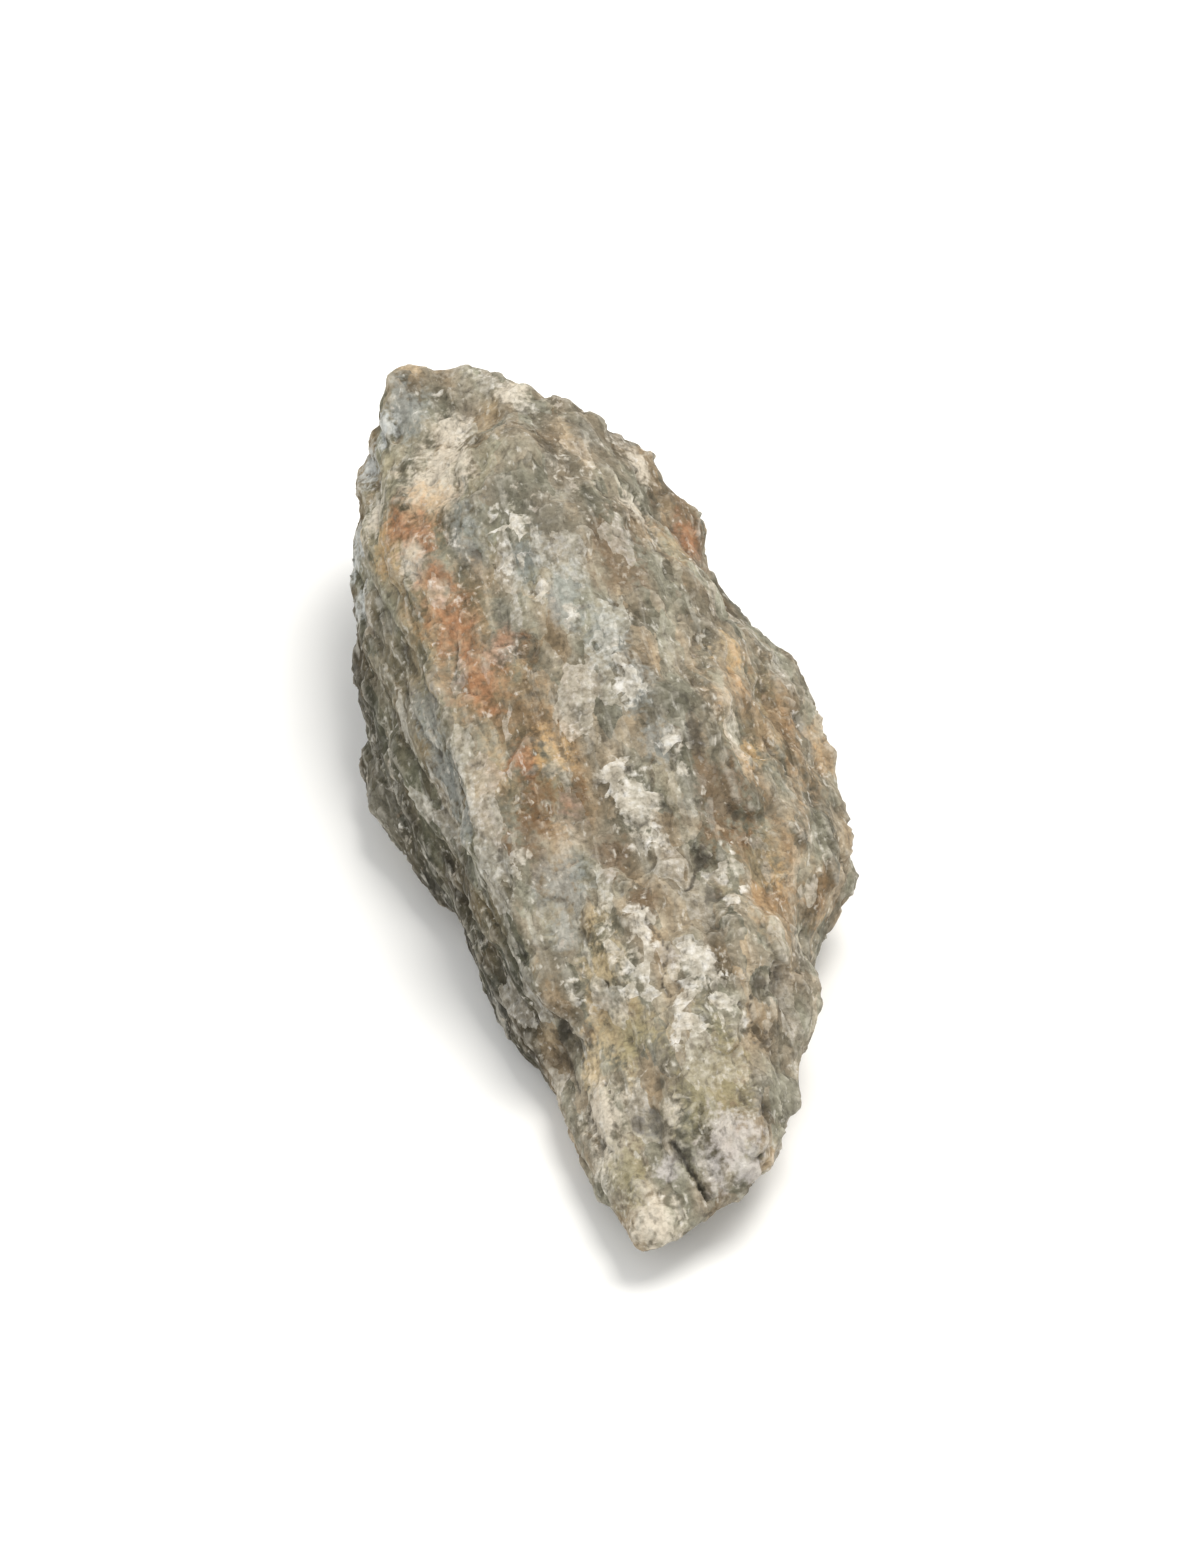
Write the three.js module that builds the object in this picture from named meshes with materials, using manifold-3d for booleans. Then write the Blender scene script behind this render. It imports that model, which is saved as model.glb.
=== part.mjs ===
// A rough broken stone, a wedge-shaped lump of feldspar-rich rock about 77 mm long, lying on a flat break.
//
// Millimetres, +Z up. X runs across the stone, -Y towards its narrow tip. The finished stone stands on z = 0
// with the origin in the middle of its bounding box, at the bottom.
//
// The big breaks of the stone meet in a few long lines: a ridge, an edge on the right, the top and the belly
// of a steep wall on the left, and the feet. A tube is drawn through these lines, its surface is cut into small
// triangles, and a relief of swells, chipped flats, layers, knobs and pits pushes it in and out. A crack is
// cut last.

import * as THREE from "three";
import { ConvexGeometry } from "three/addons/geometries/ConvexGeometry.js";
import { ImprovedNoise } from "three/addons/math/ImprovedNoise.js";
import { mergeVertices } from "three/addons/utils/BufferGeometryUtils.js";
import Module from "manifold-3d";

const wasm = await Module();
wasm.setup();

// Driving dimensions. Every place below is a share of these three.
const HALF_LENGTH = 37.5; // along Y, from the middle to the tip
const HALF_WIDTH = 19; // along X, from the middle to the widest point
const HEIGHT = 25.5; // from the resting face to the highest ridge

// The mesh of the finished surface.
const STEPS = 34; // rings of points from the far end to the tip
const EDGE = 2.25; // the longest triangle edge
const ROUNDING = 0.2; // the share of the way to its neighbours that a point moves, to ease the sharp edges

// The break that the stone lies on stays flat around this point.
const PAD = new THREE.Vector2(-2, 2);
const PAD_RADIUS = 5.5;
const PAD_FADE = 3;
const BASE_HEIGHT = 0.5; // points below this belong to the resting break

// A place on the stone, from its shares of the half length, half width and height.
const place = (along, across, up) =>
  new THREE.Vector3(across * HALF_WIDTH, along * HALF_LENGTH, up * HEIGHT);

// The middle of a list of points.
function middleOf(points) {
  const middle = new THREE.Vector3();
  for (const point of points) middle.addScaledVector(point, 1 / points.length);
  return middle;
}

// A line that runs along the stone through the given places, from the far end to the tip.
function lineThrough(...shares) {
  const places = shares.map((share) => place(...share));
  return (y) => {
    const next = places.findIndex((p) => p.y <= y);
    if (next === -1) return places.at(-1).clone();
    if (next === 0) return places[0].clone();
    const [before, after] = [places[next - 1], places[next]];
    return before.clone().lerp(after, (before.y - y) / (before.y - after.y));
  };
}

// The top: highest near the far end, then falling towards the tip and drifting to the right.
const ridge = lineThrough(
  [1, -0.55, 0.6], // far break, below the crest
  [0.95, -0.62, 0.85], // crest
  [0.87, -0.42, 0.9],
  [0.63, -0.32, 1], // highest point
  [0.28, -0.08, 0.93],
  [0, 0.25, 0.79],
  [-0.27, 0.38, 0.61], // shallow saddle before the tip
  [-0.5, 0.36, 0.51],
  [-0.75, 0.4, 0.39],
  [-0.93, 0.35, 0.26],
  [-1, 0.24, 0.21],
);

// The right side's sharp edge, which starts as the crest of the far end.
const rightEdge = lineThrough(
  [1, -0.3, 0.5],
  [0.95, -0.5, 0.85],
  [0.92, -0.4, 0.88],
  [0.86, -0.22, 0.89],
  [0.74, 0.13, 0.82],
  [0.68, 0.27, 0.77],
  [0.6, 0.41, 0.67],
  [0.52, 0.45, 0.58], // slight inward corner
  [0.39, 0.65, 0.52],
  [0.27, 0.82, 0.48],
  [0.13, 0.93, 0.44],
  [-0.13, 1, 0.38], // widest point
  [-0.32, 0.85, 0.34],
  [-0.63, 0.77, 0.28],
  [-0.73, 0.75, 0.26],
  [-0.84, 0.64, 0.27],
  [-0.88, 0.64, 0.22], // blunt end of the tip
  [-0.94, 0.48, 0.2],
  [-1, 0.29, 0.19],
);

// The break under the right edge.
const rightFlank = lineThrough(
  [1, -0.2, 0.36],
  [0.92, 0, 0.45],
  [0.75, 0.33, 0.42],
  [0.56, 0.54, 0.31],
  [0.39, 0.68, 0.24],
  [0.13, 0.87, 0.2],
  [-0.13, 0.94, 0.18],
  [-0.32, 0.79, 0.15],
  [-0.84, 0.61, 0.14],
  [-1, 0.29, 0.17],
);

// The steep layered wall on the left: its top edge, and its belly, which is the widest line on that side.
const wallTop = lineThrough(
  [1, -0.78, 0.6],
  [0.96, -0.8, 0.83],
  [0.8, -0.87, 0.79],
  [0.44, -0.83, 0.77],
  [0.25, -0.72, 0.73],
  [0, -0.57, 0.65],
  [-0.19, -0.47, 0.57],
  [-0.4, -0.29, 0.47],
  [-0.53, -0.21, 0.39], // the wall ends in a step here
  [-0.58, -0.08, 0.31],
  [-0.75, 0.03, 0.26],
  [-0.95, 0.16, 0.2],
  [-1, 0.17, 0.19],
);
const belly = lineThrough(
  [1, -0.85, 0.4],
  [0.96, -0.84, 0.78],
  [0.86, -0.87, 0.69], // hollow below the far end's corner
  [0.8, -1, 0.55], // shoulder
  [0.53, -0.98, 0.39],
  [0.37, -0.96, 0.27],
  [0.23, -0.94, 0.16],
  [0.14, -0.89, 0.12],
  [0, -0.73, 0.1],
  [-0.33, -0.43, 0.08],
  [-0.51, -0.26, 0.08],
  [-0.56, -0.16, 0.1], // the wall ends in a step here
  [-0.76, -0.1, 0.1],
  [-0.83, -0.03, 0.1],
  [-0.97, 0.12, 0.15],
  [-1, 0.15, 0.17],
);

// The feet: where the sides reach the resting break, and the underside of the tip, which is off the ground.
const leftFoot = lineThrough(
  [1, -0.75, 0.2],
  [0.88, -0.76, 0.1],
  [0.66, -0.72, 0],
  [0.36, -0.8, 0],
  [0.1, -0.69, 0],
  [-0.22, -0.42, 0],
  [-0.46, -0.16, 0],
  [-0.6, 0, 0.03],
  [-0.84, 0.08, 0.06],
  [-1, 0.16, 0.15],
);
const rightFoot = lineThrough(
  [1, -0.35, 0.2],
  [0.88, -0.15, 0.1],
  [0.66, 0, 0],
  [0.47, 0.32, 0],
  [0.23, 0.63, 0],
  [-0.17, 0.67, 0],
  [-0.44, 0.5, 0],
  [-0.6, 0.5, 0.03],
  [-0.84, 0.42, 0.06],
  [-1, 0.26, 0.15],
);

// The break between the ridge and the right edge swells out a little, and less where it is narrow.
const SLOPE_SWELL = 1.2;
const NARROW_SWELL = 0.12; // a share of the break's width
function rightSlope(y) {
  const [left, right] = [ridge(y), rightEdge(y)];
  const swell = Math.min(SLOPE_SWELL, NARROW_SWELL * left.distanceTo(right));
  return left.lerp(right, 0.5).add(new THREE.Vector3(swell, 0, swell));
}

// The stone's outline at y, clockwise from the top as seen from the tip.
const outline = (y) =>
  [ridge, rightSlope, rightEdge, rightFlank, rightFoot, leftFoot, belly, wallTop].map((line) => line(y));

// A point of an outline, from how far around it is: 0 is its first corner, 1 is the first corner again.
const CLOSE = 1e-3; // rounding errors smaller than this are ignored
function onOutline(corners, turn) {
  const around = turn * corners.length;
  const from = Math.floor(around + CLOSE);
  const share = Math.max(around - from, 0);
  return corners[from % corners.length].clone().lerp(corners[(from + 1) % corners.length], share);
}

// The closed surface drawn through the outlines: a cylinder whose rings are laid onto them.
function plainBreaks() {
  const sides = outline(0).length;
  const tube = new THREE.CylinderGeometry(1, 1, 2 * HALF_LENGTH, 2 * sides, STEPS);
  tube.deleteAttribute("normal");
  tube.deleteAttribute("uv");
  const merged = mergeVertices(tube, CLOSE);
  const { position } = merged.attributes;
  const points = [];
  for (let i = 0; i < position.count; i++) {
    const ringPoint = new THREE.Vector3().fromBufferAttribute(position, i);
    const corners = outline(ringPoint.y);
    const middleOfEnd = Math.hypot(ringPoint.x, ringPoint.z) < CLOSE;
    const turn = Math.atan2(ringPoint.x, ringPoint.z) / (2 * Math.PI);
    points.push(middleOfEnd ? middleOf(corners) : onOutline(corners, (turn + 1) % 1));
  }
  const triangles = [];
  for (let i = 0; i < merged.index.count; i += 3) {
    triangles.push([...merged.index.array.slice(i, i + 3)]);
  }
  return { points, triangles };
}

// A closed solid from a convex block's corners.
function block(corners) {
  const geometry = new ConvexGeometry(corners);
  geometry.deleteAttribute("normal");
  const merged = mergeVertices(geometry, CLOSE);
  return new wasm.Manifold(
    new wasm.Mesh({
      numProp: 3,
      vertProperties: merged.attributes.position.array,
      triVerts: new Uint32Array(merged.index.array),
    }),
  );
}

// The solid that a list of points and triangles encloses.
function solidOf({ points, triangles }) {
  return new wasm.Manifold(
    new wasm.Mesh({
      numProp: 3,
      vertProperties: new Float32Array(points.flatMap((p) => p.toArray())),
      triVerts: new Uint32Array(triangles.flat()),
    }),
  );
}

// Halves every edge longer than limit, and cuts the triangles beside it to suit, until no edge is longer.
function refine({ points, triangles }, limit) {
  const middles = new Map();
  const between = (a, b) => {
    const key = a < b ? `${a} ${b}` : `${b} ${a}`;
    if (!middles.has(key)) {
      middles.set(key, points.length);
      points.push(points[a].clone().lerp(points[b], 0.5));
    }
    return middles.get(key);
  };
  const long = (a, b) => points[a].distanceTo(points[b]) > limit;
  const next = [];
  for (const triangle of triangles) {
    const cuts = triangle.map((a, i) => long(a, triangle[(i + 1) % 3]));
    const count = cuts.filter(Boolean).length;
    if (count === 0) {
      next.push(triangle);
      continue;
    }
    // Turned so that the first edge is cut, and the last one is whole where only two are cut.
    const turn = count === 2 ? (cuts.indexOf(false) + 1) % 3 : cuts.indexOf(true);
    const [a, b, c] = [0, 1, 2].map((i) => triangle[(i + turn) % 3]);
    const ab = between(a, b);
    if (count === 1) {
      next.push([a, ab, c], [ab, b, c]);
    } else if (count === 2) {
      const bc = between(b, c);
      next.push([ab, b, bc]);
      if (points[a].distanceTo(points[bc]) < points[c].distanceTo(points[ab])) {
        next.push([a, ab, bc], [a, bc, c]);
      } else {
        next.push([a, ab, c], [ab, bc, c]);
      }
    } else {
      const bc = between(b, c);
      const ca = between(c, a);
      next.push([a, ab, ca], [ab, b, bc], [ca, bc, c], [ab, bc, ca]);
    }
  }
  const surface = { points, triangles: next };
  return next.length > triangles.length ? refine(surface, limit) : surface;
}

// Moves every point part of the way to the middle of its neighbours, which eases the edges between breaks.
function ease({ points, triangles }, share) {
  const neighbours = points.map(() => new Set());
  for (const [a, b, c] of triangles) {
    neighbours[a].add(b).add(c);
    neighbours[b].add(a).add(c);
    neighbours[c].add(a).add(b);
  }
  const moved = points.map((point, i) => {
    const around = [...neighbours[i]].map((n) => points[n]);
    return point.clone().lerp(middleOf(around), share);
  });
  return { points: moved, triangles };
}

// The outward direction at every point, averaged over the triangles around it.
function normalsOf({ points, triangles }) {
  const normals = points.map(() => new THREE.Vector3());
  for (const [a, b, c] of triangles) {
    const ab = points[b].clone().sub(points[a]);
    const face = ab.cross(points[c].clone().sub(points[a]));
    for (const corner of [a, b, c]) normals[corner].add(face);
  }
  return normals.map((normal) => normal.normalize());
}

const noise = new ImprovedNoise();

// Smooth noise between about -height and height, with swells of the given size. The shift picks a part of it.
const swells = (p, { size, height, shift }) =>
  height * noise.noise(p.x / size + shift, p.y / size + shift, p.z / size - shift);

// A number between 0 and 1 for a cell of a lattice, always the same for the same cell. The large factors
// scramble it.
function chance(i, j, k, salt) {
  let h = Math.imul(i, 374761393) ^ Math.imul(j, 668265263) ^ Math.imul(k, 1274126177);
  h = Math.imul(h ^ Math.imul(salt, 2246822519) ^ (h >>> 13), 1103515245);
  h = Math.imul(h ^ (h >>> 15), 2654435761);
  return ((h ^ (h >>> 16)) >>> 0) / 4294967296;
}

// The minerals are drawn out along this direction, and the stone breaks along it.
const LINEATION = new THREE.Vector3(0.24, -0.92, -0.3).normalize();
const STRETCH = 1.4;

// The point squeezed along the lineation, so that a relief worked out from it is drawn out.
const drawnOut = (p) => p.clone().addScaledVector(LINEATION, p.dot(LINEATION) * (1 / STRETCH - 1));

// Small broken flats: scattered centres each give the surface around them their own tilt and step, and the
// flats run into each other over a short way. The sharpness sets how short.
const FLAT_SHARPNESS = 14;
function chipped(p, { size, tilt, step }) {
  const at = p.clone().divideScalar(size);
  const base = at.clone().floor();
  let sum = 0;
  let weights = 0;
  for (let n = 0; n < 27; n++) {
    const i = base.x + (n % 3) - 1;
    const j = base.y + (Math.floor(n / 3) % 3) - 1;
    const k = base.z + Math.floor(n / 9) - 1;
    const away = new THREE.Vector3(
      at.x - i - chance(i, j, k, 1),
      at.y - j - chance(i, j, k, 2),
      at.z - k - chance(i, j, k, 3),
    );
    const weight = Math.exp(-FLAT_SHARPNESS * away.lengthSq());
    const lean = new THREE.Vector3(...[4, 5, 6].map((salt) => chance(i, j, k, salt) * 2 - 1));
    sum += weight * (away.dot(lean) * tilt * size + (chance(i, j, k, 7) - 0.5) * step);
    weights += weight;
  }
  return sum / weights;
}

// Thin layers that lie along the stone's left wall and stand out as ledges of uneven height.
const LAYER = 4.2; // from one ledge to the next
const LAYER_NORMAL = new THREE.Vector3(0.42, 0.2, 0.9).normalize(); // square to the layers
const LAYER_BEND = { size: 12, height: 0.5, shift: 3 }; // how the layers wander, in layers
const LEDGE_FRONT = 0.7; // the share of a layer in which it rises, before it drops back
function layered(p) {
  const height = p.dot(LAYER_NORMAL) / LAYER + swells(p, LAYER_BEND);
  const share = height - Math.floor(height);
  return (share < LEDGE_FRONT ? share / LEDGE_FRONT : (1 - share) / (1 - LEDGE_FRONT)) - 0.5;
}

// A rounded knob of harder crystal, or with a negative height a hollow where grains have fallen out.
const lump = (along, across, up, radius, height) => ({
  centre: place(along, across, up),
  radius,
  height,
});
const lumps = [
  lump(0.9, -0.36, 0.87, 4, -0.7), // flat along the crest
  lump(-0.13, 0.1, 0.7, 2.8, 0.6),
  lump(-0.41, 0.12, 0.51, 3.2, 0.8),
  lump(-0.46, 0.37, 0.51, 2.8, 0.6),
  lump(-0.58, 0.37, 0.45, 2.8, 0.7),
  lump(-0.71, 0.08, 0.3, 3, 0.6),
  lump(-0.82, 0.5, 0.33, 2.6, 0.6),
  lump(-0.32, 0.4, 0.58, 2.8, -0.9),
  lump(-0.52, 0.7, 0.38, 2.6, -0.8), // groove beside the right edge
  lump(-0.55, -0.14, 0.25, 3.4, -1.3), // recess where the wall ends
  lump(-0.4, 0.85, 0.33, 3.4, -0.4), // hollow in the right edge
  lump(0.56, -1, 0.42, 4, -0.7), // worn part of the belly
  lump(-0.14, 1.02, 0.36, 2.6, -0.5), // worn corner of the right edge
];
function lumpy(p) {
  let sum = 0;
  for (const { centre, radius, height } of lumps) {
    const share = p.distanceTo(centre) / radius;
    sum += height * Math.exp(-2 * share * share);
  }
  return sum;
}

// How far the finished surface stands out from the plain breaks at a point. The wall is where the surface
// faces left more than up: it has ledges, and fewer chips than the rest.
const WIDE_SWELLS = { size: 15, height: 0.35, shift: 0 };
const SMALL_SWELLS = { size: 7, height: 0.3, shift: 7 };
const GRAINS = { size: 2.6, height: 0.35, shift: 11 };
const WIDE_FLATS = { size: 9, tilt: 0.12, step: 0.45 };
const SMALL_FLATS = { size: 4.6, tilt: 0.17, step: 0.45 };
const WALL_STARTS = 0.45; // how far left the surface faces here
const WALL_WHOLE = 0.85;
const WALL_CHIPS = 0.6;
const LEDGE_HEIGHT = 0.7;
function relief(p, normal) {
  const wall = THREE.MathUtils.smoothstep(-normal.x, WALL_STARTS, WALL_WHOLE);
  const drawn = drawnOut(p);
  const chips = chipped(drawn, WIDE_FLATS) + chipped(drawn, SMALL_FLATS);
  const worn = swells(p, WIDE_SWELLS) + swells(p, SMALL_SWELLS) + swells(p, GRAINS) + lumpy(p);
  return worn + THREE.MathUtils.lerp(1, WALL_CHIPS, wall) * chips + wall * LEDGE_HEIGHT * layered(p);
}

// Pushes the surface out and in by the relief, and keeps the resting break flat around its middle.
function weather({ points, triangles }) {
  const normals = normalsOf({ points, triangles });
  const moved = points.map((point, i) => {
    if (point.z > BASE_HEIGHT || normals[i].z > 0) {
      const out = point.clone().addScaledVector(normals[i], relief(point, normals[i]));
      return out.setZ(Math.max(out.z, 0));
    }
    const away = Math.hypot(point.x - PAD.x, point.y - PAD.y) - PAD_RADIUS;
    const worn = THREE.MathUtils.smoothstep(away, 0, PAD_FADE);
    return point.clone().setZ(worn * Math.max(-relief(point, normals[i]), 0));
  });
  return { points: moved, triangles };
}

// A narrow cut with a sharp bottom between two points of the surface, its sides a width apart at the top.
function cleft(from, to, into, width, depth) {
  const side = to.clone().sub(from).cross(into).setLength(width / 2);
  const above = into.clone().multiplyScalar(-depth);
  const corners = [];
  for (const end of [from, to]) {
    const top = end.clone().add(above);
    corners.push(top.clone().add(side), top.clone().sub(side), end.clone().addScaledVector(into, depth));
  }
  return block(corners);
}

// The crack that winds in from the tip's blunt end.
const CRACK_WIDTH = 1.4;
const CRACK_DEPTH = 1.5;
const CRACK_INTO = new THREE.Vector3(-0.15, 0.5, -0.85).normalize();
const crackPath = [
  place(-0.8, 0.26, 0.36),
  place(-0.86, 0.36, 0.33),
  place(-0.9, 0.37, 0.29),
  place(-1, 0.5, 0.2),
];
function crack() {
  const pieces = crackPath
    .slice(1)
    .map((to, i) => cleft(crackPath[i], to, CRACK_INTO, CRACK_WIDTH, CRACK_DEPTH));
  return pieces.reduce((whole, piece) => whole.add(piece));
}

function roughRock() {
  const breaks = ease(refine(plainBreaks(), EDGE), ROUNDING);
  const solid = solidOf(weather(breaks)).subtract(crack());
  const mesh = solid.getMesh();
  const geometry = new THREE.BufferGeometry();
  geometry.setAttribute("position", new THREE.BufferAttribute(mesh.vertProperties, 3));
  geometry.setIndex(new THREE.BufferAttribute(mesh.triVerts, 1));
  geometry.computeVertexNormals();
  const rock = new THREE.Mesh(
    geometry,
    new THREE.MeshStandardMaterial({ color: 0x8c8271, roughness: 0.85, metalness: 0 }),
  );
  rock.name = "rough_rock";
  return rock;
}

const group = new THREE.Group();
const rock = roughRock();
rock.geometry.computeBoundingBox();
const middle = rock.geometry.boundingBox.getCenter(new THREE.Vector3());
rock.position.set(-middle.x, -middle.y, -rock.geometry.boundingBox.min.z);
group.add(rock);

export default group;
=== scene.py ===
"""A rough broken stone on a pale floor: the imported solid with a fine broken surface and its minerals.

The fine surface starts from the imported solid's own mesh, cut into small even faces and eased.
Chips, layers, grains and pits then push it in and out. Lengths are in millimetres until the
finished mesh is written in metres.
"""

import math
from collections import namedtuple

import bpy
import numpy as np
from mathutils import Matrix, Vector
from mathutils.bvhtree import BVHTree


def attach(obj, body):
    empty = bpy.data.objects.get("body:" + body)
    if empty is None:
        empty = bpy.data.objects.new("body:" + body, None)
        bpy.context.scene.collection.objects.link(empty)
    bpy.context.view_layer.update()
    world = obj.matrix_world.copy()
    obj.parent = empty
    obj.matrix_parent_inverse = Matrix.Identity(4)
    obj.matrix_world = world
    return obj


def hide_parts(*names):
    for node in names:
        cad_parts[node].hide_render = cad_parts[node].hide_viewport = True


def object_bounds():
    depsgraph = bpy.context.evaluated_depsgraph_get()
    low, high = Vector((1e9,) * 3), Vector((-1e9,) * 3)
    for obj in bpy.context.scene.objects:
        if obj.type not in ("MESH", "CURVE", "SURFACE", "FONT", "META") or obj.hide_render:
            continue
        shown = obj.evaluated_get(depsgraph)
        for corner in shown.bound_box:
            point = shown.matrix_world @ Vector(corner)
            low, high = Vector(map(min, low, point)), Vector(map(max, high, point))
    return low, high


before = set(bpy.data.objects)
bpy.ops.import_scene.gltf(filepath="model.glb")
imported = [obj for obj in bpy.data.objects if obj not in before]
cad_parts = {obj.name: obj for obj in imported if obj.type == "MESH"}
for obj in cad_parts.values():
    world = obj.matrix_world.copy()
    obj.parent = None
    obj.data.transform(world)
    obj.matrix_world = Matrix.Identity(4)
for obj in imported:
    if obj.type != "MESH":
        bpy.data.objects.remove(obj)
CAD_LOW, CAD_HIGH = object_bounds()

MM = 0.001  # metres in a millimetre

# The photograph looks down on the stone at this angle, along +Y.
VIEW_ELEVATION = math.radians(45)
TO_CAMERA = np.array([0, -math.cos(VIEW_ELEVATION), math.sin(VIEW_ELEVATION)])
CAMERA_DISTANCE = 0.55  # metres
VIEW_RIGHT = np.array([1.0, 0.0, 0.0])
VIEW_UP = np.array([0, math.sin(VIEW_ELEVATION), math.cos(VIEW_ELEVATION)])

# The stone's outermost pixels in the 1200 x 1551 photograph.
STONE_LEFT = 281
STONE_RIGHT = 581
STONE_TOP = 653
STONE_BOTTOM = 1169

# The fine surface.
FACE = 0.29  # size of its faces
SAME_PLACE = 0.001  # points nearer to each other than this are joined first
EASING = 4  # how often the solid's flat triangles are eased into each other
NORMAL_EASING = 6  # how often the directions that the relief stands out in are eased
SIDE_EASING = 30  # how often they are eased to tell the left wall from the top
BASE_HEIGHT = 0.5  # points of the solid below this belong to the break that it lies on
BASE_DENTS = 0.6  # how much of the relief that break keeps, as dents alone
WALL_END = -24  # the dark left wall ends here, before the tip
WALL_FADE = 6  # and comes up to its full tone over this length
THICK_LAYER = 2.6  # layers of the left wall
THIN_LAYER = 0.95
SMALL_RELIEF = 0.12  # heights that count as one step of relief, for the painted shade in hollows and the painted highlight on what stands out
WIDE_RELIEF = 0.5
CHIP_STRETCH = 1.5  # how much longer than wide the chips, blocks and pits are, along the lineation
PIT_STRETCH = 1.6


def unit(v):
    return np.array(v) / np.linalg.norm(v)


LINEATION = unit([0.24, -0.92, -0.3])  # the minerals are drawn out along this
LAYER_NORMAL = unit([0.42, 0.2, 0.9])  # the left wall splits into layers square to this

# Markings, each by its middle and radius in pixels of the photograph.
Spot = namedtuple("Spot", "x y radius")

RUST = {
    "upper": Spot(314, 747, 13),
    "upper right": Spot(327, 754, 10),
    "neck": Spot(331, 776, 9),
    "middle": Spot(338, 794, 14),
    "below middle": Spot(345, 808, 12),
    "bend": Spot(352, 822, 11),
    "lower": Spot(358, 837, 15),
    "below lower": Spot(366, 853, 7),
    "beside lower": Spot(374, 814, 8),
    "brown end": Spot(382, 882, 8),
    "last": Spot(409, 909, 4),
    "right edge": Spot(479, 753, 10),
}
RUST_STAIN = {
    "upper": Spot(318, 752, 24),
    "middle": Spot(342, 800, 26),
    "lower": Spot(364, 836, 28),
    "below lower": Spot(384, 866, 24),
    "brown end": Spot(392, 898, 24),
    "right edge": Spot(474, 758, 15),
    "right face": Spot(526, 862, 30),
    "right face low": Spot(524, 950, 24),
    "right corner": Spot(556, 966, 14),
}
BROWN = {
    "below crest": Spot(438, 760, 16),
    "right edge": Spot(478, 757, 19),
    "rust end": Spot(384, 882, 9),
    "under rust": Spot(396, 905, 10),
    "beside rust": Spot(412, 906, 8),
    "middle": Spot(386, 926, 12),
    "knot": Spot(438, 936, 11),
    "beside knot": Spot(452, 964, 8),
    "right": Spot(500, 905, 18),
    "above tan": Spot(430, 1026, 7),
    "above tan right": Spot(446, 1028, 5),
    "left of tan": Spot(424, 1041, 5),
    "between creams": Spot(467, 995, 5),
}
WHITE = {
    "speck": Spot(375, 754, 10),
    "line": Spot(396, 784, 4),
    "line end": Spot(412, 794, 4),
    "streak top": Spot(440, 822, 5),
    "streak": Spot(445, 838, 7),
    "streak end": Spot(472, 870, 7),
    "above crystals": Spot(476, 888, 4),
    "streak left": Spot(448, 892, 12),
    "upper crystals": Spot(450, 908, 9),
    "upper crystals low": Spot(457, 926, 7),
    "beside recess": Spot(500, 944, 8),
    "below recess": Spot(506, 962, 4),
    "cream top": Spot(449, 980, 8),
    "cream": Spot(448, 998, 12),
    "cream low": Spot(458, 1010, 6),
    "cream right": Spot(482, 998, 9),
    "cream far right": Spot(494, 1006, 6),
    "crystals": Spot(488, 1036, 10),
    "crystals right": Spot(504, 1028, 7),
    "crystals left": Spot(476, 1046, 7),
    "crystals high": Spot(478, 1024, 5),
    "wall end": Spot(414, 1014, 5),
    "under rust": Spot(382, 938, 4),
    "right edge": Spot(556, 946, 4),
    "tip": Spot(470, 1060, 4),
}
BEIGE = {
    "corner": Spot(334, 718, 23),
    "corner high": Spot(340, 690, 11),
    # The crest and crest right spots are a painted highlight along the crest's edge.
    "crest": Spot(380, 668, 10),
    "crest foot": Spot(450, 738, 9),
    "crest right": Spot(450, 708, 8),
    "tip left": Spot(430, 1088, 14),
    "tip middle": Spot(472, 1086, 7),
    "tip left low": Spot(438, 1114, 12),
    "bottom": Spot(462, 1148, 13),
    "left shoulder": Spot(300, 740, 12),
}
TAN = {
    "low": Spot(440, 1040, 18),
    "low left": Spot(424, 1064, 9),
    "beside cream": Spot(430, 1000, 12),
    "above cream": Spot(424, 974, 9),
    "left shoulder": Spot(303, 760, 10),
    "right high": Spot(502, 818, 9),
    "right middle": Spot(516, 880, 8),
    "right low": Spot(532, 950, 7),
    "rust end": Spot(400, 880, 9),
}
OLIVE = {
    "low": Spot(494, 1072, 23),
    "tan": Spot(448, 1046, 12),
    "tip left": Spot(444, 1124, 14),
    "below rust": Spot(312, 762, 7),
}
GREY = {
    "below crest": Spot(400, 738, 19),
    "crest middle": Spot(420, 690, 10),
    "below crest left": Spot(372, 728, 9),
    "middle": Spot(460, 850, 10),
    # The wall spots darken the left wall: partly its own grey-green, partly painted shade, most at the
    # undercut foot.
    "wall upper": Spot(306, 806, 16),
    "wall middle": Spot(318, 858, 14),
    "wall foot": Spot(302, 912, 20),
    "above wall end": Spot(398, 1000, 9),
}
BLUISH = {
    "corner": Spot(315, 676, 12),
    "band start": Spot(352, 750, 12),
    "below speck": Spot(384, 764, 11),
    "middle high": Spot(410, 786, 11),
    "middle": Spot(434, 810, 12),
    "middle low": Spot(448, 838, 9),
    "band end": Spot(462, 872, 8),
    "wall": Spot(334, 862, 14),
    "wall low": Spot(342, 890, 14),
    "wall end": Spot(350, 918, 10),
    "grey flat": Spot(412, 960, 15),
}
# A painted highlight along the rounded left edge, where it turns up to the light.
PAINTED_RIM_HIGHLIGHT = {
    "corner": Spot(303, 690, 9),
    "upper": Spot(296, 710, 11),
    "shoulder": Spot(289, 736, 12),
    "lower": Spot(288, 764, 11),
    "end": Spot(290, 792, 9),
}
LAVENDER = {
    "tip": Spot(508, 1110, 17),
    "tip end": Spot(520, 1122, 9),
    "crack left": Spot(466, 1122, 7),
}
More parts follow.
